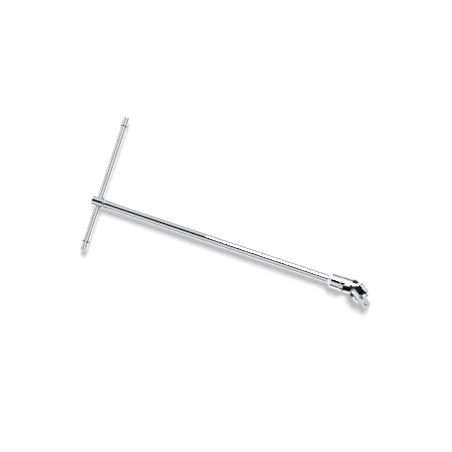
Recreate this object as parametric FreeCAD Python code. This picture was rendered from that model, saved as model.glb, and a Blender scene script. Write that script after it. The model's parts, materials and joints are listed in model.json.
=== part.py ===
# T-handle wrench: a sliding cross bar, a long round shaft, and a universal joint
# that carries a male square drive with a ball catch.
#
# Building frame: the bar and the shaft cross at the origin, +X runs down the shaft
# to the joint, the bar lies along Y and +Z is up from the table that the wrench
# lies on. At the end everything moves together, so that the middle of the foot
# of the whole wrench's bounding box is the origin. Lengths are in millimetres.
import FreeCAD, Part
import math
import os

# Head: a collar pressed over the end of the shaft, bored across for the bar
HEAD_DIAMETER = 15.0
HEAD_LENGTH = 17.0
HEAD_REAR_CHAMFER = 0.8
HEAD_FRONT_CHAMFER = 1.2

# Shaft
SHAFT_DIAMETER = 12.0
SHAFT_VISIBLE_LENGTH = 306.0
SHAFT_SEAT_LENGTH = 15.5
SHAFT_END_CHAMFER = 0.5
SEAT_RELIEF = 0.3

# Sliding bar, shown pushed off centre
BAR_DIAMETER = 9.0
BAR_LENGTH = 184.0
BAR_OFFSET = 25.0
BAR_END_CHAMFER = 0.9
BAR_BORE_CLEARANCE = 0.05

# Wire snap rings in grooves near both ends of the bar
RING_FROM_BAR_END = 12.5
RING_WIRE_DIAMETER = 1.2
RING_WIRE_SIDES = 6
RING_STANDS_PROUD = 0.4
RING_GAP_ANGLE = 50.0
GROOVE_CLEARANCE = 0.05

# Ball and spring in the shaft's end that press on the bar. Their pocket is drilled from
# the end of the head, which a pressed-in plug closes
FRICTION_BALL_DIAMETER = 4.5
PLUG_LENGTH = 2.4
PLUG_SUNK = 0.3
POCKET_CLEARANCE = 0.05
FRICTION_POCKET_DEPTH = 9.0
BALL_SEAT_GAP = 0.02

# Universal joint: two forks at right angles on a block. The two pins cross the block
# one behind the other, so that both run right through it
YOKE_DIAMETER = 22.0
COLLAR_DIAMETER = 20.6
YOKE_CONE_LENGTH = 4.0
COLLAR_LENGTH = 11.5
HEEL_LENGTH = 4.5
HEEL_BEVEL = 0.7
SHAFT_YOKE_REACH = 12.6
DRIVE_YOKE_REACH = 8.0
EAR_TIP = 5.8
EAR_TIP_CHAMFER = 1.0
EAR_ROOT_WIDTH = 12.8
EAR_END_WIDTH = 8.2
EAR_ROOT_RADIUS = 2.0
EAR_END_RADIUS = 2.4
SLOT_WIDTH = 10.0
SLOT_CORNER_RADIUS = 1.2

PIN_DIAMETER = 6.0
PIN_SUNK = 0.5
PIN_STAKE_CHAMFER = 0.5
PIN_DIMPLE_DIAMETER = 2.6
PIN_DIMPLE_DEPTH = 0.9
PIN_DIMPLE_FLOOR_DIAMETER = 0.8
PIN_RUNNING_CLEARANCE = 0.03
PIN_OFFSET = 7.4

BLOCK_SIDE_CLEARANCE = 0.05
BLOCK_PAST_PIN = 5.0
BLOCK_CHAMFER = 1.0

# Driving fork: a short foot, then the square
FOOT_LENGTH = 4.6
FOOT_STEP = 1.0
FOOT_STEP_FROM_END = 2.4
FOOT_CHAMFER = 0.7

SQUARE_SIDE = 9.53
SQUARE_LENGTH = 11.0
SQUARE_EDGE_CHAMFER = 0.5
SQUARE_TIP_CHAMFER = 1.0
SQUARE_TURN = -135.0
SQUARE_SUNK_IN_FOOT = 0.5

CATCH_BALL_DIAMETER = 4.5
CATCH_FROM_TIP = 5.0
CATCH_LIP_THICKNESS = 0.4
CATCH_LIP_RADIUS = 2.12
CATCH_POCKET_DEPTH = 7.4

# Flats around half a turn of each ball
BALL_FLATS = 8

# Springs under the two balls
SPRING_WIRE = 0.5
SPRING_WALL_CLEARANCE = 0.15
SPRING_TURNS = 4
SPRING_STEPS_PER_TURN = 8
SPRING_WIRE_SIDES = 6

# How far a cutter runs past the face that it opens
CUT_PAST = 1.0

# How the wrench lies: the first pin leans from the vertical, and the joint is bent
PIN_LEAN = 39.0
BEND_AT_SHAFT_PIN = -30.3
BEND_AT_DRIVE_PIN = 22.2

# Places worked out from the sizes above
SHAFT_RADIUS = SHAFT_DIAMETER / 2
BAR_RADIUS = BAR_DIAMETER / 2
YOKE_RADIUS = YOKE_DIAMETER / 2
HEAD_FRONT_X = HEAD_LENGTH / 2
YOKE_REAR_X = HEAD_FRONT_X + SHAFT_VISIBLE_LENGTH
YOKE_BODY_LENGTH = YOKE_CONE_LENGTH + COLLAR_LENGTH + HEEL_LENGTH
JOINT_X = YOKE_REAR_X + YOKE_BODY_LENGTH + SHAFT_YOKE_REACH
FOOT_END_X = DRIVE_YOKE_REACH + FOOT_LENGTH
SQUARE_END_X = FOOT_END_X + SQUARE_LENGTH
PIN_RADIUS = PIN_DIAMETER / 2
PIN_END_RADIUS = YOKE_RADIUS - PIN_SUNK

X_AXIS = FreeCAD.Vector(1, 0, 0)
Y_AXIS = FreeCAD.Vector(0, 1, 0)
Z_AXIS = FreeCAD.Vector(0, 0, 1)
ORIGIN = FreeCAD.Vector(0, 0, 0)


def point(x, y, z):
    return FreeCAD.Vector(x, y, z)


def rod(radius, start, end):
    """Solid round bar between two points."""
    run = end - start
    return Part.makeCylinder(radius, run.Length, start, run)


def turned(outline):
    """Solid turned about the X axis from (x, radius) points."""
    corners = [point(x, radius, 0) for x, radius in outline]
    wire = Part.makePolygon(corners + corners[:1])
    return Part.Face(wire).revolve(ORIGIN, X_AXIS, 360)


def chamfered_rod(radius, start_x, end_x, start_chamfer, end_chamfer):
    """Round bar along X with a chamfer at each end."""
    return turned([
        (start_x, 0),
        (start_x, radius - start_chamfer),
        (start_x + start_chamfer, radius),
        (end_x - end_chamfer, radius),
        (end_x, radius - end_chamfer),
        (end_x, 0),
    ])


def ball(diameter, centre):
    """Ball turned from short cones, which keeps its faces few."""
    outline = []
    for flat in range(BALL_FLATS + 1):
        angle = math.pi * flat / BALL_FLATS
        outline.append((-math.cos(angle) * diameter / 2, math.sin(angle) * diameter / 2))
    solid = turned(outline)
    solid.translate(centre)
    return solid


def corner_arc(start, middle, end):
    return Part.Arc(start, middle, end).toShape()


def spring(outer_radius, free_length, start, direction):
    """Coil spring as a wire with flat sides, wound from start along direction."""
    coil_radius = outer_radius - SPRING_WIRE / 2
    rise = (free_length - SPRING_WIRE) / SPRING_TURNS
    steps = SPRING_TURNS * SPRING_STEPS_PER_TURN
    path = []
    for step in range(steps + 1):
        turn = 2 * math.pi * step / SPRING_STEPS_PER_TURN
        height = SPRING_WIRE / 2 + rise * step / SPRING_STEPS_PER_TURN
        path.append(point(coil_radius * math.cos(turn), coil_radius * math.sin(turn), height))
    along = (path[1] - path[0]).normalize()
    side = along.cross(Z_AXIS).normalize()
    up = along.cross(side)
    section = []
    for corner in range(SPRING_WIRE_SIDES):
        angle = 2 * math.pi * corner / SPRING_WIRE_SIDES
        reach = side * math.cos(angle) + up * math.sin(angle)
        section.append(path[0] + reach * (SPRING_WIRE / 2))
    sweep = Part.BRepOffsetAPI.MakePipeShell(Part.makePolygon(path))
    sweep.setTransitionMode(1)
    sweep.add(Part.makePolygon(section + section[:1]))
    sweep.build()
    sweep.makeSolid()
    coil = sweep.shape()
    coil.Placement = FreeCAD.Placement(start, FreeCAD.Rotation(Z_AXIS, direction))
    return coil


def bar_bore():
    """The hole across the head and the shaft that the bar slides in."""
    radius = BAR_RADIUS + BAR_BORE_CLEARANCE
    return rod(radius, point(0, -HEAD_DIAMETER, 0), point(0, HEAD_DIAMETER, 0))


def make_head_collar():
    collar = chamfered_rod(HEAD_DIAMETER / 2, -HEAD_FRONT_X, HEAD_FRONT_X,
                           HEAD_REAR_CHAMFER, HEAD_FRONT_CHAMFER)
    shaft_hole = rod(SHAFT_RADIUS, point(-HEAD_LENGTH, 0, 0), point(HEAD_LENGTH, 0, 0))
    return collar.cut(shaft_hole).cut(bar_bore())


def friction_pocket_radius():
    return FRICTION_BALL_DIAMETER / 2 + POCKET_CLEARANCE


def friction_pocket_end():
    return BAR_RADIUS + FRICTION_BALL_DIAMETER + FRICTION_POCKET_DEPTH


def make_shaft():
    shaft = chamfered_rod(SHAFT_RADIUS, -HEAD_FRONT_X, YOKE_REAR_X + SHAFT_SEAT_LENGTH,
                          SHAFT_END_CHAMFER, SHAFT_END_CHAMFER)
    pocket = rod(friction_pocket_radius(), point(-HEAD_LENGTH, 0, 0), point(friction_pocket_end(), 0, 0))
    return shaft.cut(bar_bore()).cut(pocket)


def make_head_plug():
    start_x = -HEAD_FRONT_X + PLUG_SUNK
    return rod(friction_pocket_radius(), point(start_x, 0, 0), point(start_x + PLUG_LENGTH, 0, 0))


def friction_ball_x():
    return BAR_RADIUS + BALL_SEAT_GAP + FRICTION_BALL_DIAMETER / 2


def make_friction_ball():
    return ball(FRICTION_BALL_DIAMETER, point(friction_ball_x(), 0, 0))


def make_friction_spring():
    start_x = friction_ball_x() + FRICTION_BALL_DIAMETER / 2
    outer_radius = FRICTION_BALL_DIAMETER / 2 - SPRING_WALL_CLEARANCE
    return spring(outer_radius, friction_pocket_end() - start_x, point(start_x, 0, 0), X_AXIS)


def bar_ends():
    """Where the bar's two ends are along Y: the short side first."""
    middle = BAR_OFFSET
    return middle - BAR_LENGTH / 2, middle + BAR_LENGTH / 2


def ring_places():
    short_end, long_end = bar_ends()
    return {
        "bar_ring_short_side": short_end + RING_FROM_BAR_END,
        "bar_ring_long_side": long_end - RING_FROM_BAR_END,
    }


def ring_radius():
    """Radius of the circle that the ring's wire follows."""
    return BAR_RADIUS + RING_STANDS_PROUD - RING_WIRE_DIAMETER / 2


def make_tee_bar():
    short_end, long_end = bar_ends()
    bar = chamfered_rod(BAR_RADIUS, short_end, long_end, BAR_END_CHAMFER, BAR_END_CHAMFER)
    half_width = RING_WIRE_DIAMETER / 2 + GROOVE_CLEARANCE
    groove_floor = ring_radius() - half_width
    for ring_y in ring_places().values():
        groove = turned([
            (ring_y - half_width, groove_floor),
            (ring_y - half_width, BAR_DIAMETER),
            (ring_y + half_width, BAR_DIAMETER),
            (ring_y + half_width, groove_floor),
        ])
        bar = bar.cut(groove)
    bar.rotate(ORIGIN, Z_AXIS, 90)
    return bar


def make_bar_ring(ring_y):
    """Ring of wire with a gap. The wire has flat sides, to keep its faces few."""
    corners = []
    for corner in range(RING_WIRE_SIDES + 1):
        angle = math.pi * (2 * corner + 1) / RING_WIRE_SIDES
        reach = RING_WIRE_DIAMETER / 2
        corners.append(point(ring_radius() + reach * math.cos(angle), ring_y + reach * math.sin(angle), 0))
    section = Part.Face(Part.makePolygon(corners))
    return section.revolve(ORIGIN, Y_AXIS, 360 - RING_GAP_ANGLE)


def ear_plan(rear_x, reach):
    """Outline of a fork seen along its pin: broad behind the shoulder, then the ear."""
    shoulder_x = -reach
    wide = YOKE_RADIUS + CUT_PAST
    root = EAR_ROOT_WIDTH / 2
    tip = EAR_END_WIDTH / 2
    soft = 1 - math.sqrt(0.5)

    def side(sign):
        shoulder = point(shoulder_x, sign * (root + EAR_ROOT_RADIUS), 0)
        root_middle = point(shoulder_x + EAR_ROOT_RADIUS * soft, sign * (root + EAR_ROOT_RADIUS * soft), 0)
        root_end = point(shoulder_x + EAR_ROOT_RADIUS, sign * root, 0)
        end_start = point(EAR_TIP - EAR_END_RADIUS, sign * tip, 0)
        end_middle = point(EAR_TIP - EAR_END_RADIUS * soft, sign * (tip - EAR_END_RADIUS * soft), 0)
        end_end = point(EAR_TIP, sign * (tip - EAR_END_RADIUS), 0)
        outer = [point(rear_x, sign * wide, 0), point(shoulder_x, sign * wide, 0), shoulder]
        return outer, root_middle, root_end, end_start, end_middle, end_end

    edges = []
    for sign in (1, -1):
        outer, root_middle, root_end, end_start, end_middle, end_end = side(sign)
        edges.append(Part.makeLine(outer[0], outer[1]))
        edges.append(Part.makeLine(outer[1], outer[2]))
        edges.append(corner_arc(outer[2], root_middle, root_end))
        edges.append(Part.makeLine(root_end, end_start))
        edges.append(corner_arc(end_start, end_middle, end_end))
    tip_half = tip - EAR_END_RADIUS
    edges.append(Part.makeLine(point(EAR_TIP, tip_half, 0), point(EAR_TIP, -tip_half, 0)))
    edges.append(Part.makeLine(point(rear_x, wide, 0), point(rear_x, -wide, 0)))
    return Part.Face(Part.Wire(Part.__sortEdges__(edges)))


def slot_cutter(reach):
    """What is milled out between the two ears, with round corners at the bottom."""
    half = SLOT_WIDTH / 2
    radius = SLOT_CORNER_RADIUS
    soft = radius * (1 - math.sqrt(0.5))
    bottom = -reach
    mouth = EAR_TIP + CUT_PAST
    edges = [
        Part.makeLine(point(mouth, 0, half), point(bottom + radius, 0, half)),
        corner_arc(point(bottom + radius, 0, half), point(bottom + soft, 0, half - soft),
                   point(bottom, 0, half - radius)),
        Part.makeLine(point(bottom, 0, half - radius), point(bottom, 0, radius - half)),
        corner_arc(point(bottom, 0, radius - half), point(bottom + soft, 0, soft - half),
                   point(bottom + radius, 0, -half)),
        Part.makeLine(point(bottom + radius, 0, -half), point(mouth, 0, -half)),
        Part.makeLine(point(mouth, 0, -half), point(mouth, 0, half)),
    ]
    face = Part.Face(Part.Wire(edges))
    cutter = face.extrude(point(0, 2 * YOKE_DIAMETER, 0))
    cutter.translate(point(0, -YOKE_DIAMETER, 0))
    return cutter


def fork(outline, rear_x, reach):
    """Fork with its pin on Z, ears towards +X and the turned outline behind them."""
    ear_outline = [
        (-reach, YOKE_RADIUS),
        (EAR_TIP - EAR_TIP_CHAMFER, YOKE_RADIUS),
        (EAR_TIP, YOKE_RADIUS - EAR_TIP_CHAMFER),
        (EAR_TIP, 0),
    ]
    blank = turned([(rear_x, 0)] + outline + ear_outline)
    plan = ear_plan(rear_x - CUT_PAST, reach)
    prism = plan.extrude(point(0, 0, 2 * YOKE_DIAMETER))
    prism.translate(point(0, 0, -YOKE_DIAMETER))
    pin_hole = rod(PIN_RADIUS, point(0, 0, -YOKE_DIAMETER), point(0, 0, YOKE_DIAMETER))
    return blank.common(prism).cut(slot_cutter(reach)).cut(pin_hole)


def make_shaft_yoke():
    rear_x = -SHAFT_YOKE_REACH - YOKE_BODY_LENGTH
    collar_radius = COLLAR_DIAMETER / 2
    collar_x = rear_x + YOKE_CONE_LENGTH
    heel_x = collar_x + COLLAR_LENGTH
    outline = [
        (rear_x, SHAFT_RADIUS + SEAT_RELIEF),
        (collar_x, collar_radius),
        (heel_x, collar_radius),
        (heel_x + HEEL_BEVEL, YOKE_RADIUS),
    ]
    yoke = fork(outline, rear_x, SHAFT_YOKE_REACH)
    seat = rod(SHAFT_RADIUS, point(rear_x - CUT_PAST, 0, 0), point(rear_x + SHAFT_SEAT_LENGTH, 0, 0))
    return yoke.cut(seat)


def square_drive():
    """The square with chamfered edges and a chamfered tip, pointing to -X."""
    half = SQUARE_SIDE / 2
    start = -SQUARE_END_X
    length = SQUARE_LENGTH + SQUARE_SUNK_IN_FOOT
    block = Part.makeBox(length, SQUARE_SIDE, SQUARE_SIDE, point(start, -half, -half))
    corner_radius = half * math.sqrt(2) - SQUARE_EDGE_CHAMFER
    turning = turned([
        (start, 0),
        (start, half - SQUARE_TIP_CHAMFER / 2),
        (start + 2 * SQUARE_TIP_CHAMFER, corner_radius),
        (start + length, corner_radius),
        (start + length, 0),
    ])
    return block.common(turning)


def catch_place():
    """Along the square to the ball, and from the axis to the ball's centre."""
    lip_to_centre = math.sqrt((CATCH_BALL_DIAMETER / 2) ** 2 - CATCH_LIP_RADIUS ** 2)
    centre_height = SQUARE_SIDE / 2 - CATCH_LIP_THICKNESS - lip_to_centre - BALL_SEAT_GAP
    return SQUARE_END_X - CATCH_FROM_TIP, centre_height


def catch_pocket():
    catch_x, _ = catch_place()
    top = SQUARE_SIDE / 2
    under_lip = top - CATCH_LIP_THICKNESS
    radius = CATCH_BALL_DIAMETER / 2 + POCKET_CLEARANCE
    wide = rod(radius, point(-catch_x, 0, top - CATCH_POCKET_DEPTH), point(-catch_x, 0, under_lip))
    mouth = rod(CATCH_LIP_RADIUS, point(-catch_x, 0, 0), point(-catch_x, 0, top + CUT_PAST))
    return wide.fuse(mouth)


def turn_square(shape):
    """The square's faces are turned about the axis from the fork's own faces."""
    shape.rotate(ORIGIN, X_AXIS, SQUARE_TURN)
    return shape


def make_drive_yoke():
    """Drive fork with its pin on Z and its ears towards +X; it's turned round later."""
    rear_x = -FOOT_END_X
    step_x = rear_x + FOOT_STEP_FROM_END
    step_radius = YOKE_RADIUS - FOOT_STEP
    outline = [
        (rear_x, step_radius - FOOT_CHAMFER),
        (rear_x + FOOT_CHAMFER, step_radius),
        (step_x, step_radius),
        (step_x + FOOT_STEP, YOKE_RADIUS),
    ]
    yoke = fork(outline, rear_x, DRIVE_YOKE_REACH)
    square = turn_square(square_drive().cut(catch_pocket()))
    return yoke.fuse(square).removeSplitter()


def make_catch_ball():
    catch_x, height = catch_place()
    return turn_square(ball(CATCH_BALL_DIAMETER, point(-catch_x, 0, height)))


def make_catch_spring():
    catch_x, height = catch_place()
    floor = SQUARE_SIDE / 2 - CATCH_POCKET_DEPTH
    free_length = height - CATCH_BALL_DIAMETER / 2 - floor
    outer_radius = CATCH_BALL_DIAMETER / 2 - SPRING_WALL_CLEARANCE
    return turn_square(spring(outer_radius, free_length, point(-catch_x, 0, floor), Z_AXIS))


def make_centre_block():
    """Block with the shaft fork's pin on Z and, further on, the drive fork's pin on Y."""
    side = SLOT_WIDTH - 2 * BLOCK_SIDE_CLEARANCE
    half = side / 2
    length = PIN_OFFSET + 2 * BLOCK_PAST_PIN
    block = Part.makeBox(length, side, side, point(-BLOCK_PAST_PIN, -half, -half))
    block = block.makeChamfer(BLOCK_CHAMFER, block.Edges)
    bore_radius = PIN_RADIUS + PIN_RUNNING_CLEARANCE
    drive_pin_place = X_AXIS * PIN_OFFSET
    block = block.cut(rod(bore_radius, Z_AXIS * -side, Z_AXIS * side))
    return block.cut(rod(bore_radius, drive_pin_place - Y_AXIS * side, drive_pin_place + Y_AXIS * side))


def make_pin():
    """Pin on Z whose staked ends carry a dimple."""
    end_profile = [
        (PIN_END_RADIUS - PIN_DIMPLE_DEPTH, 0),
        (PIN_END_RADIUS - PIN_DIMPLE_DEPTH, PIN_DIMPLE_FLOOR_DIAMETER / 2),
        (PIN_END_RADIUS, PIN_DIMPLE_DIAMETER / 2),
        (PIN_END_RADIUS, PIN_RADIUS - PIN_STAKE_CHAMFER),
        (PIN_END_RADIUS - PIN_STAKE_CHAMFER, PIN_RADIUS),
    ]
    other_end = [(-x, radius) for x, radius in end_profile]
    solid = turned(other_end + end_profile[::-1])
    solid.rotate(ORIGIN, Y_AXIS, 90)
    return solid


def turned_about(axis, angle):
    return FreeCAD.Rotation(axis, angle)


LEAN = turned_about(X_AXIS, -PIN_LEAN)
BEND_ONE = turned_about(Z_AXIS, BEND_AT_SHAFT_PIN)
BEND_TWO = turned_about(Y_AXIS, BEND_AT_DRIVE_PIN)
JOINT_CENTRE = point(JOINT_X, 0, 0)

SHAFT_SIDE = FreeCAD.Placement(JOINT_CENTRE, LEAN)
BLOCK_SIDE = FreeCAD.Placement(JOINT_CENTRE, LEAN * BEND_ONE)
DRIVE_PIN_CENTRE = BLOCK_SIDE.multVec(X_AXIS * PIN_OFFSET)

# A fork is made with its pin on Z and ears towards +X. The drive fork's pin is on Y
# and its ears point back at the shaft.
FACE_BACK = turned_about(Z_AXIS, 180) * turned_about(X_AXIS, 90)
DRIVE_SIDE = FreeCAD.Placement(DRIVE_PIN_CENTRE, LEAN * BEND_ONE * BEND_TWO * FACE_BACK)


def placed(shape, placement):
    return shape.transformed(placement.toMatrix())


def build_nodes():
    nodes = {
        "head_collar": make_head_collar(),
        "head_plug": make_head_plug(),
        "shaft": make_shaft(),
        "friction_ball": make_friction_ball(),
        "friction_spring": make_friction_spring(),
        "tee_bar": make_tee_bar(),
    }
    for name, ring_y in ring_places().items():
        nodes[name] = make_bar_ring(ring_y)
    nodes["shaft_yoke"] = placed(make_shaft_yoke(), SHAFT_SIDE)
    nodes["shaft_yoke_pin"] = placed(make_pin(), SHAFT_SIDE)
    nodes["centre_block"] = placed(make_centre_block(), BLOCK_SIDE)
    nodes["drive_yoke_pin"] = placed(make_pin(), DRIVE_SIDE)
    nodes["drive_yoke"] = placed(make_drive_yoke(), DRIVE_SIDE)
    nodes["catch_ball"] = placed(make_catch_ball(), DRIVE_SIDE)
    nodes["catch_spring"] = placed(make_catch_spring(), DRIVE_SIDE)
    return nodes


def foot_centre(shapes):
    """Middle of the bottom of the box around all the shapes."""
    box = Part.makeCompound(list(shapes)).optimalBoundingBox(False, False)
    return point((box.XMin + box.XMax) / 2, (box.YMin + box.YMax) / 2, box.ZMin)


nodes = build_nodes()
SHIFT = foot_centre(nodes.values()) * -1

os.makedirs("parts", exist_ok=True)
for name, shape in nodes.items():
    shape.translate(SHIFT)
    shape.exportStep(f"parts/{name}.step")
    print(f"{name:22s} {len(shape.Solids)} solid, {shape.Volume:9.1f} mm3")

print("crossing of bar and shaft:", SHIFT)
print("centre of the shaft yoke's pin:", JOINT_CENTRE + SHIFT)
print("centre of the drive yoke's pin:", DRIVE_PIN_CENTRE + SHIFT)
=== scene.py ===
# %% [markdown]
# A T-handle joint wrench in polished chrome, lying on a white table.
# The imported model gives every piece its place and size. This script models each piece
# again with rounded edges and a smooth skin, gives it the right finish, and adds a white
# light tent and the camera.

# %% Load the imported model
import json
import math
import bpy
from mathutils import Matrix, Vector


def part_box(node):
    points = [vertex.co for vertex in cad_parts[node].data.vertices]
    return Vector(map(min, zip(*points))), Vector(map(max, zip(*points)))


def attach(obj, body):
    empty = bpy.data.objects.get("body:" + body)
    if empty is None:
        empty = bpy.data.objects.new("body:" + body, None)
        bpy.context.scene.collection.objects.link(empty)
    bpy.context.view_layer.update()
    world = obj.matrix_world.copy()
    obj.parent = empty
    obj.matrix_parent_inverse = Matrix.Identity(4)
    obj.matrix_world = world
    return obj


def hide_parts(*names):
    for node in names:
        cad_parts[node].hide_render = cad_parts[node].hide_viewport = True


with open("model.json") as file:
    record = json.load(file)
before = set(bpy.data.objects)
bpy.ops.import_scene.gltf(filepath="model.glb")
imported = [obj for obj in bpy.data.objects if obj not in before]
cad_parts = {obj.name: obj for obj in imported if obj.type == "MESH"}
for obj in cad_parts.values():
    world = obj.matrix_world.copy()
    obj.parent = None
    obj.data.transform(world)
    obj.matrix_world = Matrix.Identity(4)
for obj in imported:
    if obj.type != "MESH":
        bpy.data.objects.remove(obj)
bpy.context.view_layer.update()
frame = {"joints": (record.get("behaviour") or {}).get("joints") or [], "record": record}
MM = 0.001
JOINTS = {joint["name"]: joint for joint in frame["joints"]}
MOUNTS = {mount["name"]: mount for mount in frame["record"]["mounts"]}

# %% [markdown]
# The bar and the shaft cross in the middle of the head. That point is easy to see in the
# photograph as well as in the model, so the camera is placed from it.

# %% Where the bar crosses the shaft
def middle_of(node):
    low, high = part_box(node)
    return (low + high) / 2


CROSSING = middle_of("head_collar")
print("crossing of bar and shaft in mm:", [round(value / MM, 1) for value in CROSSING])

# %% [markdown]
# The photograph was taken from almost straight above, from a little over a metre, with
# the joint end a little nearer to the lens than the head. A long lens at that distance
# gives the same slight perspective. The numbers come from two points that are easy to
# find in the photograph: the crossing, and the middle of the first pin of the joint.

# %% Camera
PHOTO_PIXELS = 452
SENSOR_WIDTH = 36.0
CAMERA_DISTANCE = 1.1
CAMERA_TILT = math.radians(9.0)
CAMERA_ROLL = math.radians(18.313)
FOCAL_PIXELS = 859.57
AIM_FROM_CROSSING = Vector((0.1701, 0.0223, 0.0))

aim = CROSSING + AIM_FROM_CROSSING
to_camera = Vector((math.sin(CAMERA_TILT), 0, math.cos(CAMERA_TILT)))
along = Vector((math.cos(CAMERA_TILT), 0, -math.sin(CAMERA_TILT)))
across = Vector((0, 1, 0))
right = along * math.cos(CAMERA_ROLL) + across * math.sin(CAMERA_ROLL)
up = across * math.cos(CAMERA_ROLL) - along * math.sin(CAMERA_ROLL)
camera_data = bpy.data.cameras.new("camera")
camera_data.sensor_width = SENSOR_WIDTH
camera_data.lens = SENSOR_WIDTH * FOCAL_PIXELS / PHOTO_PIXELS
camera = bpy.data.objects.new("camera", camera_data)
camera.matrix_world = Matrix.Translation(aim + to_camera * CAMERA_DISTANCE) @ Matrix((
    right, up, to_camera)).transposed().to_4x4()
bpy.context.collection.objects.link(camera)
bpy.context.scene.camera = camera
bpy.context.scene.view_settings.view_transform = "Standard"
print("lens in mm:", round(camera_data.lens, 2))

# %% [markdown]
# Colours are written as the hex codes that a paint or screen chart gives. Blender counts
# light in equal steps, so one function turns a code into the linear numbers it needs.

# %% From a hex code to a linear colour
def linear_colour(code):
    channels = []
    for place in (0, 2, 4):
        value = int(code[place:place + 2], 16) / 255
        channels.append(value / 12.92 if value <= 0.04045 else ((value + 0.055) / 1.055) ** 2.4)
    return (*channels, 1.0)


# %% [markdown]
# A finish is a small network of nodes. Adding a node always takes the same three things:
# its kind, its settings, and what is plugged into it, so one function does all of it. An
# input is named or counted from 0, and a node given as its value is plugged in by its
# first output.

# %% One function that adds a node
def add_node(tree, kind, settings=None, inputs=None):
    node = tree.nodes.new(kind)
    for name, value in (settings or {}).items():
        setattr(node, name, value)
    for name, value in (inputs or {}).items():
        if isinstance(value, bpy.types.Node):
            value = value.outputs[0]
        if isinstance(value, bpy.types.NodeSocket):
            tree.links.new(value, node.inputs[name])
        else:
            node.inputs[name].default_value = value
    return node


def new_material(name):
    material = bpy.data.materials.new(name)
    material.use_nodes = True
    material.node_tree.nodes.clear()
    return material, material.node_tree


# %% [markdown]
# Chrome plate over polished steel is a mirror. What makes it look like metal and not like
# glass is that the mirror is never quite even: buffing leaves very fine lines along the
# piece, and handling leaves a faint haze. The haze only changes the roughness, and the
# buffing lines are a bump far too low to see as a shape. Real buffing lines are about
# 0.05 mm apart, too fine for the picture, so they are drawn ten times as coarse. The bar
# is a ground rod with less polish than the rest, so its mirror is the haziest.

# %% Chrome plate
HAZE_SIZE = 14 * MM
HAZE_FROM = 0.35
HAZE_TO = 0.75
BUFFING_LINE = 0.5 * MM
BUFFING_HEIGHT = 0.002 * MM
BUFFING_STRENGTH = 0.15
BUFFING_STRETCH = 0.04
EVEN = (1, 1, 1)


def chrome_plate(name, colour, clear, hazy, stretch):
    material, tree = new_material(name)
    place = add_node(tree, "ShaderNodeTexCoord").outputs["Object"]
    haze = add_node(tree, "ShaderNodeTexNoise", {}, {
        "Vector": place, "Scale": 1 / HAZE_SIZE, "Detail": 3.0})
    spread = add_node(tree, "ShaderNodeMapRange", {}, {
        "Value": haze, "From Min": HAZE_FROM, "From Max": HAZE_TO, "To Min": clear, "To Max": hazy})
    drawn = add_node(tree, "ShaderNodeMapping", {}, {"Vector": place, "Scale": stretch})
    lines = add_node(tree, "ShaderNodeTexNoise", {}, {
        "Vector": drawn, "Scale": 1 / BUFFING_LINE, "Detail": 2.0})
    bump = add_node(tree, "ShaderNodeBump", {}, {
        "Height": lines, "Strength": BUFFING_STRENGTH, "Distance": BUFFING_HEIGHT})
    shader = add_node(tree, "ShaderNodeBsdfPrincipled", {}, {
        "Base Color": linear_colour(colour), "Metallic": 1.0, "Roughness": spread, "Normal": bump})
    add_node(tree, "ShaderNodeOutputMaterial", {}, {"Surface": shader})
    return material


CHROME_SHAFT = chrome_plate("polished_chrome_shaft", "EDEEF0", 0.02, 0.06, (BUFFING_STRETCH, 1, 1))
CHROME_BAR = chrome_plate("satin_chrome_bar", "F4F5F6", 0.2, 0.26, (1, BUFFING_STRETCH, 1))
CHROME_FORK = chrome_plate("polished_chrome_forging", "EAEBED", 0.03, 0.09, EVEN)
print("chrome finishes:", CHROME_SHAFT.name, CHROME_BAR.name, CHROME_FORK.name)

# %% [markdown]
# No buffing wheel reaches into the narrow slot between the ears of a fork, so the walls
# there stay dull and rough. Their dark grey is painted shade: it stands for the shade that
# falls between the ears and the block, and it darkens the walls of the pin holes too.

# %% Dull plate with painted shade inside the slots
# The dark grey colour is painted shade; the high roughness is the dull plate.
DULL_PLATE_PAINTED_SHADE = chrome_plate("unbuffed_plate_painted_shade_in_slot", "3C3C3F", 0.3, 0.45, EVEN)

# %% [markdown]
# The balls are ground bearing steel: bright, a touch darker than the chrome, and smooth
# all over. The plug in the end of the head is turned steel with the same grey.

# %% Ground bearing steel
GROUND_STEEL = chrome_plate("ground_bearing_steel", "C4C5C8", 0.06, 0.12, EVEN)

# %% [markdown]
# The pins and the block between the forks are blackened steel. The bath leaves a thin
# oxide that is nearly black, a little warm, slightly mottled, and oily to the eye: a soft
# sheen and no clear mirror. Spring wire is oil-tempered and a little lighter.

# %% Blackened steel
MOTTLE_SIZE = 1.5 * MM
GRAIN_SIZE = 0.25 * MM
GRAIN_HEIGHT = 0.01 * MM
GRAIN_STRENGTH = 0.3
OXIDE_METALLIC = 0.9


def blackened_steel(name, dark, light, smooth, dull):
    material, tree = new_material(name)
    place = add_node(tree, "ShaderNodeTexCoord").outputs["Object"]
    mottle = add_node(tree, "ShaderNodeTexNoise", {}, {
        "Vector": place, "Scale": 1 / MOTTLE_SIZE, "Detail": 4.0})
    colour = add_node(tree, "ShaderNodeMix", {"data_type": "RGBA"}, {
        "Factor": mottle, 6: linear_colour(dark), 7: linear_colour(light)})
    spread = add_node(tree, "ShaderNodeMapRange", {}, {
        "Value": mottle, "To Min": smooth, "To Max": dull})
    grain = add_node(tree, "ShaderNodeTexNoise", {}, {
        "Vector": place, "Scale": 1 / GRAIN_SIZE, "Detail": 2.0})
    bump = add_node(tree, "ShaderNodeBump", {}, {
        "Height": grain, "Strength": GRAIN_STRENGTH, "Distance": GRAIN_HEIGHT})
    shader = add_node(tree, "ShaderNodeBsdfPrincipled", {}, {
        "Base Color": colour.outputs[2], "Metallic": OXIDE_METALLIC, "Roughness": spread, "Normal": bump})
    add_node(tree, "ShaderNodeOutputMaterial", {}, {"Surface": shader})
    return material


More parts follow.
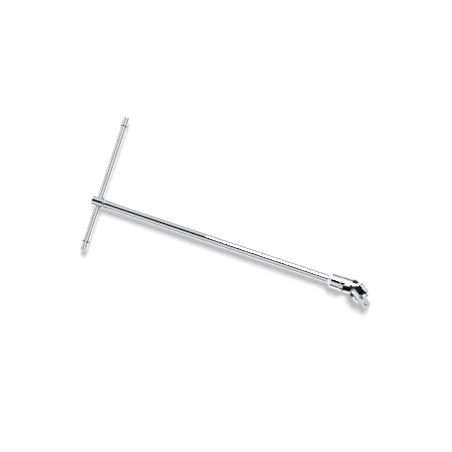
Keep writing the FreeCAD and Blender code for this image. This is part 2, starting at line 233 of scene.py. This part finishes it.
BLACK_OXIDE = blackened_steel("black_oxide_steel", "17161A", "2B2A2C", 0.28, 0.42)
SPRING_WIRE = blackened_steel("oiled_spring_wire", "55555A", "77777B", 0.2, 0.3)
print("dark finishes:", BLACK_OXIDE.name, SPRING_WIRE.name)

# %% [markdown]
# Nearly every piece of a wrench is turned on a lathe. The same can be done by hand in
# Blender: start with a round face at one end, then extrude it along the axis and scale it
# at every corner of the outline. All pieces are modelled on the X axis first and are
# then put in their place.

# %% Turn a piece from its outline
ROUND_SIDES = 128


def select_only(piece):
    bpy.ops.object.select_all(action="DESELECT")
    piece.select_set(True)
    bpy.context.view_layer.objects.active = piece


def face_outwards(piece):
    select_only(piece)
    bpy.ops.object.mode_set(mode="EDIT")
    bpy.ops.mesh.select_all(action="SELECT")
    bpy.ops.mesh.normals_make_consistent(inside=False)
    bpy.ops.object.mode_set(mode="OBJECT")


def turned(name, outline):
    """Solid turned about X, from its (x, radius) corners."""
    bpy.ops.object.select_all(action="DESELECT")
    x, radius = outline[0]
    bpy.ops.mesh.primitive_circle_add(vertices=ROUND_SIDES, radius=radius, fill_type="NGON",
                                      location=(x, 0, 0), rotation=(0, math.radians(90), 0))
    piece = bpy.context.object
    piece.name = name
    bpy.ops.object.transform_apply(location=True, rotation=True, scale=True)
    bpy.ops.object.mode_set(mode="EDIT")
    for next_x, next_radius in outline[1:]:
        growth = next_radius / radius
        bpy.ops.mesh.extrude_region_move(TRANSFORM_OT_translate={"value": (next_x - x, 0, 0)})
        bpy.ops.transform.resize(value=(1, growth, growth), center_override=(next_x, 0, 0))
        x, radius = next_x, next_radius
    bpy.ops.object.mode_set(mode="OBJECT")
    face_outwards(piece)
    return piece


# %% [markdown]
# What a mill or a drill takes away is a second solid that is subtracted. A drill is a
# round bar, and a milling cut is a block with the plan of the cut, some of whose upright
# edges are rounded as the cutter leaves them.

# %% Drills, blocks and cuts
CUT_PAST = 1 * MM
SAME_PLACE = 0.01 * MM
CORNER_SEGMENTS = 8


def drill(radius, start, end):
    bpy.ops.object.select_all(action="DESELECT")
    run = Vector(end) - Vector(start)
    bpy.ops.mesh.primitive_cylinder_add(vertices=ROUND_SIDES, radius=radius, depth=run.length,
                                        location=(Vector(start) + Vector(end)) / 2,
                                        rotation=run.to_track_quat("Z", "Y").to_euler())
    bpy.ops.object.transform_apply(location=True, rotation=True, scale=True)
    return bpy.context.object


def prism(corners, low, high):
    """Straight-sided block from z = low to high with the given (x, y) corners."""
    bpy.ops.object.select_all(action="DESELECT")
    bpy.ops.mesh.primitive_circle_add(vertices=len(corners), fill_type="NGON")
    piece = bpy.context.object
    for vertex, (x, y) in zip(piece.data.vertices, corners):
        vertex.co = (x, y, low)
    bpy.ops.object.mode_set(mode="EDIT")
    bpy.ops.mesh.extrude_region_move(TRANSFORM_OT_translate={"value": (0, 0, high - low)})
    bpy.ops.object.mode_set(mode="OBJECT")
    face_outwards(piece)
    return piece


def round_corner(piece, axes, corner, radius, segments=CORNER_SEGMENTS):
    """Rounds the edges whose two ends both have these coordinates along these two axes."""
    select_only(piece)
    bpy.ops.object.mode_set(mode="EDIT")
    bpy.ops.mesh.select_mode(type="EDGE")
    bpy.ops.mesh.select_all(action="DESELECT")
    bpy.ops.object.mode_set(mode="OBJECT")
    for edge in piece.data.edges:
        ends = [piece.data.vertices[index].co for index in edge.vertices]
        edge.select = all(abs(end[axis] - place) < SAME_PLACE
                          for end in ends for axis, place in zip(axes, corner))
    bpy.ops.object.mode_set(mode="EDIT")
    bpy.ops.mesh.bevel(offset=radius, segments=segments, affect="EDGES")
    bpy.ops.object.mode_set(mode="OBJECT")


def carve(piece, tool, operation="DIFFERENCE"):
    select_only(piece)
    cut = piece.modifiers.new("cut", "BOOLEAN")
    cut.object = tool
    cut.operation = operation
    cut.solver = "EXACT"
    bpy.ops.object.modifier_apply(modifier=cut.name)
    bpy.data.objects.remove(tool)
    return piece


# %% [markdown]
# A real edge is never sharp: deburring leaves a small radius that catches the light. The
# last step of every piece rounds its sharp edges, shades it smooth, keeps its flat
# faces flat, moves it to its place and lets it ride on its body in the place of the
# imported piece.

# %% Finish a piece
EDGE_RADIUS = 0.2 * MM
EDGE_SEGMENTS = 2
SHARP_ANGLE = math.radians(25)
SMOOTH_ANGLE = math.radians(40)
made = []


def finish_piece(piece, node, body, material, place, edge_radius=EDGE_RADIUS):
    select_only(piece)
    if edge_radius:
        rounding = piece.modifiers.new("rounding", "BEVEL")
        rounding.width = edge_radius
        rounding.segments = EDGE_SEGMENTS
        rounding.limit_method = "ANGLE"
        rounding.angle_limit = SHARP_ANGLE
        rounding.use_clamp_overlap = False
        bpy.ops.object.modifier_apply(modifier=rounding.name)
    bpy.ops.object.shade_smooth_by_angle(angle=SMOOTH_ANGLE)
    flats = piece.modifiers.new("flats", "WEIGHTED_NORMAL")
    flats.keep_sharp = True
    bpy.ops.object.modifier_apply(modifier=flats.name)
    piece.matrix_world = place
    bpy.ops.object.transform_apply(location=True, rotation=True, scale=True)
    piece.name = node + "_finished"
    piece.data.name = piece.name
    if not piece.data.materials:
        piece.data.materials.append(material)
    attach(piece, body)
    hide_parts(node)
    made.append(piece.name)
    print(piece.name, len(piece.data.polygons), "faces")


# %% [markdown]
# The head is a short collar pressed over the end of the shaft. The shaft shows as a round
# end inside it, closed by a small plug over the hole for the ball and spring that hold
# the bar. The bar goes through both.

# %% Head collar, shaft and plug
HEAD_LENGTH = 17 * MM
HEAD_RADIUS = 7.5 * MM
HEAD_REAR_CHAMFER = 0.8 * MM
HEAD_FRONT_CHAMFER = 1.2 * MM
SHAFT_RADIUS = 6 * MM
SHAFT_END_CHAMFER = 0.5 * MM
BAR_RADIUS = 4.5 * MM
SLIDING_CLEARANCE = 0.05 * MM
BAR_BORE_RADIUS = BAR_RADIUS + SLIDING_CLEARANCE
BALL_RADIUS = 2.25 * MM
POCKET_RADIUS = BALL_RADIUS + SLIDING_CLEARANCE
FRICTION_POCKET_DEPTH = 9 * MM
POCKET_END = BAR_RADIUS + 2 * BALL_RADIUS + FRICTION_POCKET_DEPTH
HEAD_END = HEAD_LENGTH / 2
SHAFT_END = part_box("shaft")[1].x - CROSSING.x

at_crossing = Matrix.Translation(CROSSING)


def bar_bore():
    return drill(BAR_BORE_RADIUS, (0, -2 * HEAD_RADIUS, 0), (0, 2 * HEAD_RADIUS, 0))


collar = turned("head_collar", [
    (-HEAD_END, HEAD_RADIUS - HEAD_REAR_CHAMFER),
    (-HEAD_END + HEAD_REAR_CHAMFER, HEAD_RADIUS),
    (HEAD_END - HEAD_FRONT_CHAMFER, HEAD_RADIUS),
    (HEAD_END, HEAD_RADIUS - HEAD_FRONT_CHAMFER),
])
carve(collar, drill(SHAFT_RADIUS, (-HEAD_LENGTH, 0, 0), (HEAD_LENGTH, 0, 0)))
carve(collar, bar_bore())
finish_piece(collar, "head_collar", "shaft_body", CHROME_SHAFT, at_crossing)

shaft = turned("shaft", [
    (-HEAD_END, SHAFT_RADIUS - SHAFT_END_CHAMFER),
    (-HEAD_END + SHAFT_END_CHAMFER, SHAFT_RADIUS),
    (SHAFT_END - SHAFT_END_CHAMFER, SHAFT_RADIUS),
    (SHAFT_END, SHAFT_RADIUS - SHAFT_END_CHAMFER),
])
carve(shaft, bar_bore())
carve(shaft, drill(POCKET_RADIUS, (-HEAD_LENGTH, 0, 0), (POCKET_END, 0, 0)))
finish_piece(shaft, "shaft", "shaft_body", CHROME_SHAFT, at_crossing)

plug_low, plug_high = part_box("head_plug")
plug_length = plug_high.x - plug_low.x
plug = turned("head_plug", [(0, POCKET_RADIUS), (plug_length, POCKET_RADIUS)])
finish_piece(plug, "head_plug", "shaft_body", GROUND_STEEL,
             Matrix.Translation((plug_low.x, CROSSING.y, CROSSING.z)))

# %% [markdown]
# The bar is a plain ground rod. Near each end a narrow groove holds a snap ring of wire,
# which stops the bar at the head. The groove is part of the turned outline: the corner
# goes down, along and up again.

# %% Sliding bar
BAR_END_CHAMFER = 0.9 * MM
WIRE_RADIUS = 0.6 * MM
RING_STANDS_PROUD = 0.4 * MM
GROOVE_CLEARANCE = 0.05 * MM
RING_RADIUS = BAR_RADIUS + RING_STANDS_PROUD - WIRE_RADIUS
GROOVE_HALF_WIDTH = WIRE_RADIUS + GROOVE_CLEARANCE
GROOVE_FLOOR = RING_RADIUS - GROOVE_HALF_WIDTH
RING_NODES = ("bar_ring_short_side", "bar_ring_long_side")

bar_middle = middle_of("tee_bar")
bar_low, bar_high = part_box("tee_bar")
bar_end = (bar_high.y - bar_low.y) / 2
outline = [(-bar_end, BAR_RADIUS - BAR_END_CHAMFER), (-bar_end + BAR_END_CHAMFER, BAR_RADIUS)]
for node in RING_NODES:
    ring_at = middle_of(node).y - bar_middle.y
    outline += [
        (ring_at - GROOVE_HALF_WIDTH, BAR_RADIUS),
        (ring_at - GROOVE_HALF_WIDTH, GROOVE_FLOOR),
        (ring_at + GROOVE_HALF_WIDTH, GROOVE_FLOOR),
        (ring_at + GROOVE_HALF_WIDTH, BAR_RADIUS),
    ]
outline += [(bar_end - BAR_END_CHAMFER, BAR_RADIUS), (bar_end, BAR_RADIUS - BAR_END_CHAMFER)]
x_to_y = Matrix.Rotation(math.radians(90), 4, "Z")
finish_piece(turned("tee_bar", outline), "tee_bar", "bar_body", CHROME_BAR,
             Matrix.Translation(bar_middle) @ x_to_y)

# %% [markdown]
# A snap ring is a piece of round wire bent in a circle with a gap, so that it can be
# sprung over the bar. A small round face, spun around the bar, makes it in one go.

# %% Snap rings
WIRE_SIDES = 16
RING_STEPS = 80
RING_SWEEP = math.radians(310)


def snap_ring(name):
    """Ring about the Y axis, whose wire starts on the X axis."""
    bpy.ops.object.select_all(action="DESELECT")
    bpy.ops.mesh.primitive_circle_add(vertices=WIRE_SIDES, radius=WIRE_RADIUS, fill_type="NGON",
                                      location=(RING_RADIUS, 0, 0))
    ring = bpy.context.object
    ring.name = name
    bpy.ops.object.transform_apply(location=True, rotation=True, scale=True)
    bpy.ops.object.mode_set(mode="EDIT")
    bpy.ops.mesh.spin(steps=RING_STEPS, angle=RING_SWEEP, center=(0, 0, 0), axis=(0, 1, 0))
    bpy.ops.object.mode_set(mode="OBJECT")
    face_outwards(ring)
    return ring


for node in RING_NODES:
    ring_place = Matrix.Translation((CROSSING.x, middle_of(node).y, CROSSING.z))
    finish_piece(snap_ring(node), node, "bar_body", SPRING_WIRE, ring_place, 0)

# %% [markdown]
# Ball bearings are as round as anything made. A cube, cut fine and pulled to a sphere, has
# no poles where the faces crowd together, so its reflection stays clean.

# %% Balls
BALL_CUTS = 15


def ball(name):
    bpy.ops.object.select_all(action="DESELECT")
    bpy.ops.mesh.primitive_cube_add(size=2 * BALL_RADIUS)
    piece = bpy.context.object
    piece.name = name
    bpy.ops.object.mode_set(mode="EDIT")
    bpy.ops.mesh.subdivide(number_cuts=BALL_CUTS)
    bpy.ops.transform.tosphere(value=1.0)
    bpy.ops.object.mode_set(mode="OBJECT")
    growth = BALL_RADIUS / piece.data.vertices[0].co.length
    piece.scale = (growth, growth, growth)
    bpy.ops.object.transform_apply(location=True, rotation=True, scale=True)
    return piece


for node, body in (("friction_ball", "friction_ball_body"), ("catch_ball", "catch_ball_body")):
    finish_piece(ball(node), node, body, GROUND_STEEL,
                 Matrix.Translation(middle_of(node)), 0)

# %% [markdown]
# The joint has three frames of its own: one for each fork and one for the block. Each is
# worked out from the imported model: the two hinge axes are the pins, and the mount on the
# square says where the driving end points.

# %% Frames of the universal joint
FIRST_PIN = Vector(JOINTS["shaft_yoke_hinge"]["axis"]).normalized()
SECOND_PIN = Vector(JOINTS["drive_yoke_hinge"]["axis"]).normalized()
FIRST_CENTRE = Vector(JOINTS["shaft_yoke_hinge"]["pos_m"])
SECOND_CENTRE = Vector(JOINTS["drive_yoke_hinge"]["pos_m"])
DRIVE_WAY = Vector(MOUNTS["drive_square"]["axis"]).normalized()


def joint_frame(centre, x_way, z_way):
    """Matrix that puts X and Z along the two directions, and the origin at the centre."""
    turn = Matrix((x_way, z_way.cross(x_way), z_way)).transposed()
    return Matrix.Translation(centre) @ turn.to_4x4()


shaft_side = joint_frame(FIRST_CENTRE, Vector((1, 0, 0)), FIRST_PIN)
block_side = joint_frame(FIRST_CENTRE, (SECOND_CENTRE - FIRST_CENTRE).normalized(), FIRST_PIN)
drive_side = joint_frame(SECOND_CENTRE, -DRIVE_WAY, SECOND_PIN)
print("angle between the shaft and the square:", round(math.degrees(math.acos(DRIVE_WAY.x)), 1))

# %% [markdown]
# A fork starts as a turned blank. Seen along the pin, its two ears are narrower than the
# body and taper to a rounded end, so the blank is cut to that plan. Then the slot between
# the ears is milled out, with round corners at the bottom, and the pin hole is drilled.

# %% Fork
FORK_RADIUS = 11 * MM
EAR_TIP = 5.8 * MM
EAR_TIP_CHAMFER = 1 * MM
EAR_ROOT = 6.4 * MM
EAR_END = 4.1 * MM
EAR_ROOT_RADIUS = 2 * MM
EAR_END_RADIUS = 2.4 * MM
SLOT_HALF = 5 * MM
SLOT_CORNER_RADIUS = 1.2 * MM
SLOT_CORNER_SEGMENTS = 4
PIN_RADIUS = 3 * MM
X, Y, Z = 0, 1, 2


def fork(name, outline, reach):
    rear_x = outline[0][0]
    blank = turned(name, outline + [
        (EAR_TIP - EAR_TIP_CHAMFER, FORK_RADIUS),
        (EAR_TIP, FORK_RADIUS - EAR_TIP_CHAMFER),
    ])
    wide = FORK_RADIUS + CUT_PAST
    half_plan = [
        (rear_x - CUT_PAST, wide), (-reach, wide), (-reach, EAR_ROOT), (EAR_TIP, EAR_END)]
    plan = prism(half_plan + [(x, -y) for x, y in reversed(half_plan)], -wide, wide)
    for side in (1, -1):
        round_corner(plan, (X, Y), (-reach, side * EAR_ROOT), EAR_ROOT_RADIUS)
        round_corner(plan, (X, Y), (EAR_TIP, side * EAR_END), EAR_END_RADIUS)
    carve(blank, plan, "INTERSECT")
    mouth = EAR_TIP + CUT_PAST
    slot_plan = [(-reach, -wide), (mouth, -wide), (mouth, wide), (-reach, wide)]
    slot = prism(slot_plan, -SLOT_HALF, SLOT_HALF)
    for side in (1, -1):
        round_corner(slot, (X, Z), (-reach, side * SLOT_HALF), SLOT_CORNER_RADIUS,
                     SLOT_CORNER_SEGMENTS)
    carve(blank, slot)
    return carve(blank, drill(PIN_RADIUS, (0, 0, -wide), (0, 0, wide)))


# %% [markdown]
# The slot and the walls of the pin hole get the dull plate, whose dark grey is painted
# shade. Their faces are found by their place: between the ears, at most half the slot's
# width from the middle, or no farther from the pin's axis than the hole is wide.

# %% Dull plate and painted shade on the faces of the slot
def plate_fork_with_painted_slot_shade(piece, reach):
    piece.data.materials.clear()
    piece.data.materials.append(CHROME_FORK)
    # The second finish paints shade on the walls of the slot and the pin hole.
    piece.data.materials.append(DULL_PLATE_PAINTED_SHADE)
    for face in piece.data.polygons:
        in_slot = abs(face.center.z) < SLOT_HALF + SAME_PLACE and face.center.x > -reach - SAME_PLACE
        in_hole = math.hypot(face.center.x, face.center.y) < PIN_RADIUS + SAME_PLACE
        face.material_index = 1 if in_slot or in_hole else 0
    return piece


# %% [markdown]
# The fork on the shaft has a long round collar behind it that takes the end of the shaft,
# a short cone at its rear, and a low step up to the fork.

# %% Fork on the shaft
SHAFT_FORK_REACH = 12.6 * MM
CONE_LENGTH = 4 * MM
COLLAR_LENGTH = 11.5 * MM
COLLAR_RADIUS = 10.3 * MM
HEEL_LENGTH = 4.5 * MM
HEEL_BEVEL = 0.7 * MM
SEAT_RELIEF = 0.3 * MM
SEAT_LENGTH = 15.5 * MM

rear_x = -SHAFT_FORK_REACH - CONE_LENGTH - COLLAR_LENGTH - HEEL_LENGTH
heel_x = rear_x + CONE_LENGTH + COLLAR_LENGTH
shaft_fork = fork("shaft_yoke", [
    (rear_x, SHAFT_RADIUS + SEAT_RELIEF),
    (rear_x + CONE_LENGTH, COLLAR_RADIUS),
    (heel_x, COLLAR_RADIUS),
    (heel_x + HEEL_BEVEL, FORK_RADIUS),
], SHAFT_FORK_REACH)
carve(shaft_fork, drill(SHAFT_RADIUS, (rear_x - CUT_PAST, 0, 0), (rear_x + SEAT_LENGTH, 0, 0)))
plate_fork_with_painted_slot_shade(shaft_fork, SHAFT_FORK_REACH)
finish_piece(shaft_fork, "shaft_yoke", "shaft_body", CHROME_FORK, shaft_side)

# %% [markdown]
# The driving fork ends in a short stepped foot, and the square grows out of it. The
# square's long edges are broken, its tip tapers, and near the tip a ball looks out of a
# hole in one flat. The square is turned by an eighth of a turn against the fork.

# %% Driving fork with its square
DRIVE_FORK_REACH = 8 * MM
FOOT_LENGTH = 4.6 * MM
FOOT_STEP = 1 * MM
FOOT_STEP_FROM_END = 2.4 * MM
FOOT_CHAMFER = 0.7 * MM
SQUARE_HALF = 9.53 / 2 * MM
SQUARE_LENGTH = 11 * MM
SQUARE_SUNK = 0.5 * MM
SQUARE_EDGE_CHAMFER = 0.5 * MM
SQUARE_TIP_CHAMFER = 1 * MM
SQUARE_TURN = math.radians(-135)
CATCH_FROM_TIP = 5 * MM
CATCH_MOUTH_RADIUS = 2.12 * MM
CATCH_LIP = 0.4 * MM
CATCH_POCKET_DEPTH = 7.4 * MM

foot_x = -DRIVE_FORK_REACH - FOOT_LENGTH
tip_x = foot_x - SQUARE_LENGTH
catch_x = tip_x + CATCH_FROM_TIP


def square_drive():
    end_x = foot_x + SQUARE_SUNK
    side = SQUARE_HALF
    corners = [(tip_x, -side), (end_x, -side), (end_x, side), (tip_x, side)]
    square = prism(corners, -side, side)
    corner_radius = side * math.sqrt(2) - SQUARE_EDGE_CHAMFER
    carve(square, turned("tip", [
        (tip_x, side - SQUARE_TIP_CHAMFER / 2),
        (tip_x + 2 * SQUARE_TIP_CHAMFER, corner_radius),
        (end_x, corner_radius),
    ]), "INTERSECT")
    carve(square, drill(CATCH_MOUTH_RADIUS, (catch_x, 0, 0), (catch_x, 0, side + CUT_PAST)))
    carve(square, drill(POCKET_RADIUS, (catch_x, 0, side - CATCH_POCKET_DEPTH),
                        (catch_x, 0, side - CATCH_LIP)))
    square.rotation_euler = (SQUARE_TURN, 0, 0)
    select_only(square)
    bpy.ops.object.transform_apply(location=True, rotation=True, scale=True)
    return square


drive_fork = fork("drive_yoke", [
    (foot_x, FORK_RADIUS - FOOT_STEP - FOOT_CHAMFER),
    (foot_x + FOOT_CHAMFER, FORK_RADIUS - FOOT_STEP),
    (foot_x + FOOT_STEP_FROM_END, FORK_RADIUS - FOOT_STEP),
    (foot_x + FOOT_STEP_FROM_END + FOOT_STEP, FORK_RADIUS),
], DRIVE_FORK_REACH)
carve(drive_fork, square_drive(), "UNION")
plate_fork_with_painted_slot_shade(drive_fork, DRIVE_FORK_REACH)
finish_piece(drive_fork, "drive_yoke", "drive_body", CHROME_FORK, drive_side)

# %% [markdown]
# Both pins are the same: a short round pin whose ends are staked, which leaves a chamfer
# and a dimple. Modelled once, it's copied for the second hole.

# %% Pins
PIN_SUNK = 0.5 * MM
PIN_END = FORK_RADIUS - PIN_SUNK
PIN_CHAMFER = 0.5 * MM
PIN_EDGE_RADIUS = PIN_CHAMFER / 4
DIMPLE_RADIUS = 1.3 * MM
DIMPLE_FLOOR_RADIUS = 0.4 * MM
DIMPLE_DEPTH = 0.9 * MM

half_pin = [
    (PIN_END - DIMPLE_DEPTH, DIMPLE_FLOOR_RADIUS),
    (PIN_END, DIMPLE_RADIUS),
    (PIN_END, PIN_RADIUS - PIN_CHAMFER),
    (PIN_END - PIN_CHAMFER, PIN_RADIUS),
]
x_on_z = Matrix.Rotation(math.radians(-90), 4, "Y")
first_pin = turned("shaft_yoke_pin", [(-x, radius) for x, radius in half_pin] + half_pin[::-1])
second_pin = first_pin.copy()
second_pin.data = first_pin.data.copy()
bpy.context.collection.objects.link(second_pin)
finish_piece(first_pin, "shaft_yoke_pin", "shaft_body", BLACK_OXIDE,
             shaft_side @ x_on_z, PIN_EDGE_RADIUS)
finish_piece(second_pin, "drive_yoke_pin", "drive_body", BLACK_OXIDE,
             drive_side @ x_on_z, PIN_EDGE_RADIUS)

# %% [markdown]
# The block between the forks is a bar with broken edges and two crossed holes, one behind
# the other, so that both pins can go right through.

# %% Centre block
BLOCK_SIDE_CLEARANCE = 0.05 * MM
BLOCK_HALF = SLOT_HALF - BLOCK_SIDE_CLEARANCE
BLOCK_PAST_PIN = 5 * MM
BLOCK_CHAMFER = 1 * MM
PIN_RUNNING_CLEARANCE = 0.03 * MM
PIN_BORE_RADIUS = PIN_RADIUS + PIN_RUNNING_CLEARANCE

pin_offset = (SECOND_CENTRE - FIRST_CENTRE).length
far_x = pin_offset + BLOCK_PAST_PIN
block = prism([
    (-BLOCK_PAST_PIN, -BLOCK_HALF),
    (far_x, -BLOCK_HALF),
    (far_x, BLOCK_HALF),
    (-BLOCK_PAST_PIN, BLOCK_HALF),
], -BLOCK_HALF, BLOCK_HALF)
bpy.ops.object.mode_set(mode="EDIT")
bpy.ops.mesh.select_all(action="SELECT")
bpy.ops.mesh.bevel(offset=BLOCK_CHAMFER, segments=1, affect="EDGES")
bpy.ops.object.mode_set(mode="OBJECT")
drill_reach = 2 * BLOCK_HALF
carve(block, drill(PIN_BORE_RADIUS, (0, 0, -drill_reach), (0, 0, drill_reach)))
carve(block, drill(PIN_BORE_RADIUS, (pin_offset, -drill_reach, 0), (pin_offset, drill_reach, 0)))
finish_piece(block, "centre_block", "block_body", BLACK_OXIDE, block_side)

# %% [markdown]
# Under each ball sits a small coil spring. The screw modifier turns a round face about
# the axis and lifts it at the same time, which is just how a spring is wound. The ends
# of the wire are closed afterwards.

# %% Springs
SPRING_WIRE_RADIUS = 0.25 * MM
SPRING_WIRE_SIDES = 8
SPRING_TURNS = 4
SPRING_STEPS = 32
SPRING_WALL_CLEARANCE = 0.15 * MM
COIL_RADIUS = BALL_RADIUS - SPRING_WALL_CLEARANCE - SPRING_WIRE_RADIUS

z_on_x = Matrix.Rotation(math.radians(90), 4, "Y")


def coil_spring(name, length):
    """Spring along +X from the origin."""
    bpy.ops.object.select_all(action="DESELECT")
    bpy.ops.mesh.primitive_circle_add(vertices=SPRING_WIRE_SIDES, radius=SPRING_WIRE_RADIUS,
                                      location=(COIL_RADIUS, 0, SPRING_WIRE_RADIUS),
                                      rotation=(math.radians(90), 0, 0))
    piece = bpy.context.object
    piece.name = name
    bpy.ops.object.transform_apply(location=True, rotation=True, scale=True)
    winding = piece.modifiers.new("winding", "SCREW")
    winding.iterations = SPRING_TURNS
    winding.screw_offset = (length - 2 * SPRING_WIRE_RADIUS) / SPRING_TURNS
    winding.steps = SPRING_STEPS
    winding.render_steps = SPRING_STEPS
    bpy.ops.object.modifier_apply(modifier=winding.name)
    bpy.ops.object.mode_set(mode="EDIT")
    bpy.ops.mesh.select_all(action="SELECT")
    bpy.ops.mesh.fill_holes(sides=0)
    bpy.ops.object.mode_set(mode="OBJECT")
    piece.matrix_world = z_on_x
    bpy.ops.object.transform_apply(location=True, rotation=True, scale=True)
    face_outwards(piece)
    return piece


friction_low, friction_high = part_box("friction_spring")
finish_piece(coil_spring("friction_spring", friction_high.x - friction_low.x), "friction_spring",
             "shaft_body", SPRING_WIRE,
             Matrix.Translation((friction_low.x, CROSSING.y, CROSSING.z)), 0)

ball_height = (middle_of("catch_ball") - SECOND_CENTRE - DRIVE_WAY * -catch_x).length
pocket_floor = SQUARE_HALF - CATCH_POCKET_DEPTH
in_pocket = (drive_side @ Matrix.Rotation(SQUARE_TURN, 4, "X")
             @ Matrix.Translation((catch_x, 0, pocket_floor)) @ x_on_z)
finish_piece(coil_spring("catch_spring", ball_height - BALL_RADIUS - pocket_floor), "catch_spring",
             "drive_body", SPRING_WIRE, in_pocket, 0)
print("pieces made:", len(made))

# %% [markdown]
# A white table fills the view. To the camera and in the metal's reflections it has a
# little light of its own, so that it comes out as white as the paper in the photograph,
# but the wrench still darkens it where it shades it.

# %% White table
TABLE_SIZE = 6.0
TABLE_GLOW = 0.2
table_material, tree = new_material("white_table")
path = add_node(tree, "ShaderNodeLightPath")
seen = add_node(tree, "ShaderNodeMath", {"operation": "MAXIMUM"}, {
    0: path.outputs["Is Camera Ray"], 1: path.outputs["Is Glossy Ray"]})
strength = add_node(tree, "ShaderNodeMath", {"operation": "MULTIPLY"}, {0: seen, 1: TABLE_GLOW})
matt = add_node(tree, "ShaderNodeBsdfDiffuse", {}, {"Color": linear_colour("F8F8F8")})
glow = add_node(tree, "ShaderNodeEmission", {}, {
    "Color": linear_colour("FFFFFF"), "Strength": strength})
total = add_node(tree, "ShaderNodeAddShader", {}, {0: matt, 1: glow})
add_node(tree, "ShaderNodeOutputMaterial", {}, {"Surface": total})

bpy.ops.object.select_all(action="DESELECT")
bpy.ops.mesh.primitive_plane_add(size=TABLE_SIZE, location=(0, 0, 0))
table = bpy.context.object
table.name = "white_table"
table.data.materials.append(table_material)

# %% [markdown]
# Chrome shows the room more than itself. The room here is a white light tent with dark
# places in it: the opening overhead that the camera looks through, and a dark band low
# down all round, between the tent and the table, which is higher on one side than on the
# other. The opening gives the black line down the middle of the shaft, and the band the
# thin lines near its edges. A direction in the tent is a vector of length 1, and divided
# by its own height it's a place on a ceiling one unit up.

# %% Light tent
OPENING_CENTRE = (-0.167, 0.045)
OPENING_HALF = (0.222, 0.42)
OPENING_EDGE = 0.03
BAND_TOP = 0.32
BAND_TILT = (0.2, -0.06)
BAND_EDGE = 0.03
BAND_DARK = 0.02
TENT_LIGHT = 0.5

world = bpy.data.worlds.new("light_tent")
bpy.context.scene.world = world
world.use_nodes = True
tree = world.node_tree
tree.nodes.clear()
way = add_node(tree, "ShaderNodeTexCoord").outputs["Generated"]
height = add_node(tree, "ShaderNodeSeparateXYZ", {}, {0: way}).outputs["Z"]
heights = add_node(tree, "ShaderNodeCombineXYZ", {}, {0: height, 1: height, 2: height})
ceiling = add_node(tree, "ShaderNodeVectorMath", {"operation": "DIVIDE"}, {0: way, 1: heights})
from_centre = add_node(tree, "ShaderNodeVectorMath", {"operation": "SUBTRACT"}, {
    0: ceiling, 1: (*OPENING_CENTRE, 0)})
in_halves = add_node(tree, "ShaderNodeVectorMath", {"operation": "DIVIDE"}, {
    0: from_centre, 1: (*OPENING_HALF, 1)})
off = add_node(tree, "ShaderNodeSeparateXYZ", {}, {
    0: add_node(tree, "ShaderNodeVectorMath", {"operation": "ABSOLUTE"}, {0: in_halves})})
farther = add_node(tree, "ShaderNodeMath", {"operation": "MAXIMUM"}, {
    0: off.outputs["X"], 1: off.outputs["Y"]})
opening = add_node(tree, "ShaderNodeMapRange", {"interpolation_type": "SMOOTHSTEP"}, {
    "Value": farther, "From Min": 1 - OPENING_EDGE, "From Max": 1 + OPENING_EDGE})
above_band = add_node(tree, "ShaderNodeVectorMath", {"operation": "DOT_PRODUCT"}, {
    0: way, 1: (-BAND_TILT[0], -BAND_TILT[1], 1)})
band = add_node(tree, "ShaderNodeMapRange", {"interpolation_type": "SMOOTHSTEP"}, {
    "Value": above_band.outputs["Value"], "From Min": BAND_TOP - BAND_EDGE,
    "From Max": BAND_TOP + BAND_EDGE, "To Min": BAND_DARK})
tent = add_node(tree, "ShaderNodeMath", {"operation": "MULTIPLY"}, {0: opening, 1: band})
path = add_node(tree, "ShaderNodeLightPath")
power = add_node(tree, "ShaderNodeMath", {"operation": "MULTIPLY_ADD"}, {
    0: path.outputs["Is Glossy Ray"], 1: 1 - TENT_LIGHT, 2: TENT_LIGHT})
lit = add_node(tree, "ShaderNodeMath", {"operation": "MULTIPLY"}, {0: tent, 1: power})
shown = add_node(tree, "ShaderNodeMath", {"operation": "MAXIMUM"}, {
    0: lit, 1: path.outputs["Is Camera Ray"]})
background = add_node(tree, "ShaderNodeBackground", {}, {"Strength": shown})
add_node(tree, "ShaderNodeOutputWorld", {}, {"Surface": background})

# %% [markdown]
# One soft lamp stands above the far side of the shaft and gives the shadow that falls
# beside its near side.

# %% Soft lamp
LAMP_STRENGTH = 2.2
LAMP_SPREAD = math.radians(28)
LAMP_FROM = Vector((0.08, 0.62, 1.0))
lamp_data = bpy.data.lights.new("soft_lamp", "SUN")
lamp_data.energy = LAMP_STRENGTH
lamp_data.angle = LAMP_SPREAD
lamp = bpy.data.objects.new("soft_lamp", lamp_data)
lamp.rotation_euler = LAMP_FROM.to_track_quat("Z", "Y").to_euler()
bpy.context.collection.objects.link(lamp)
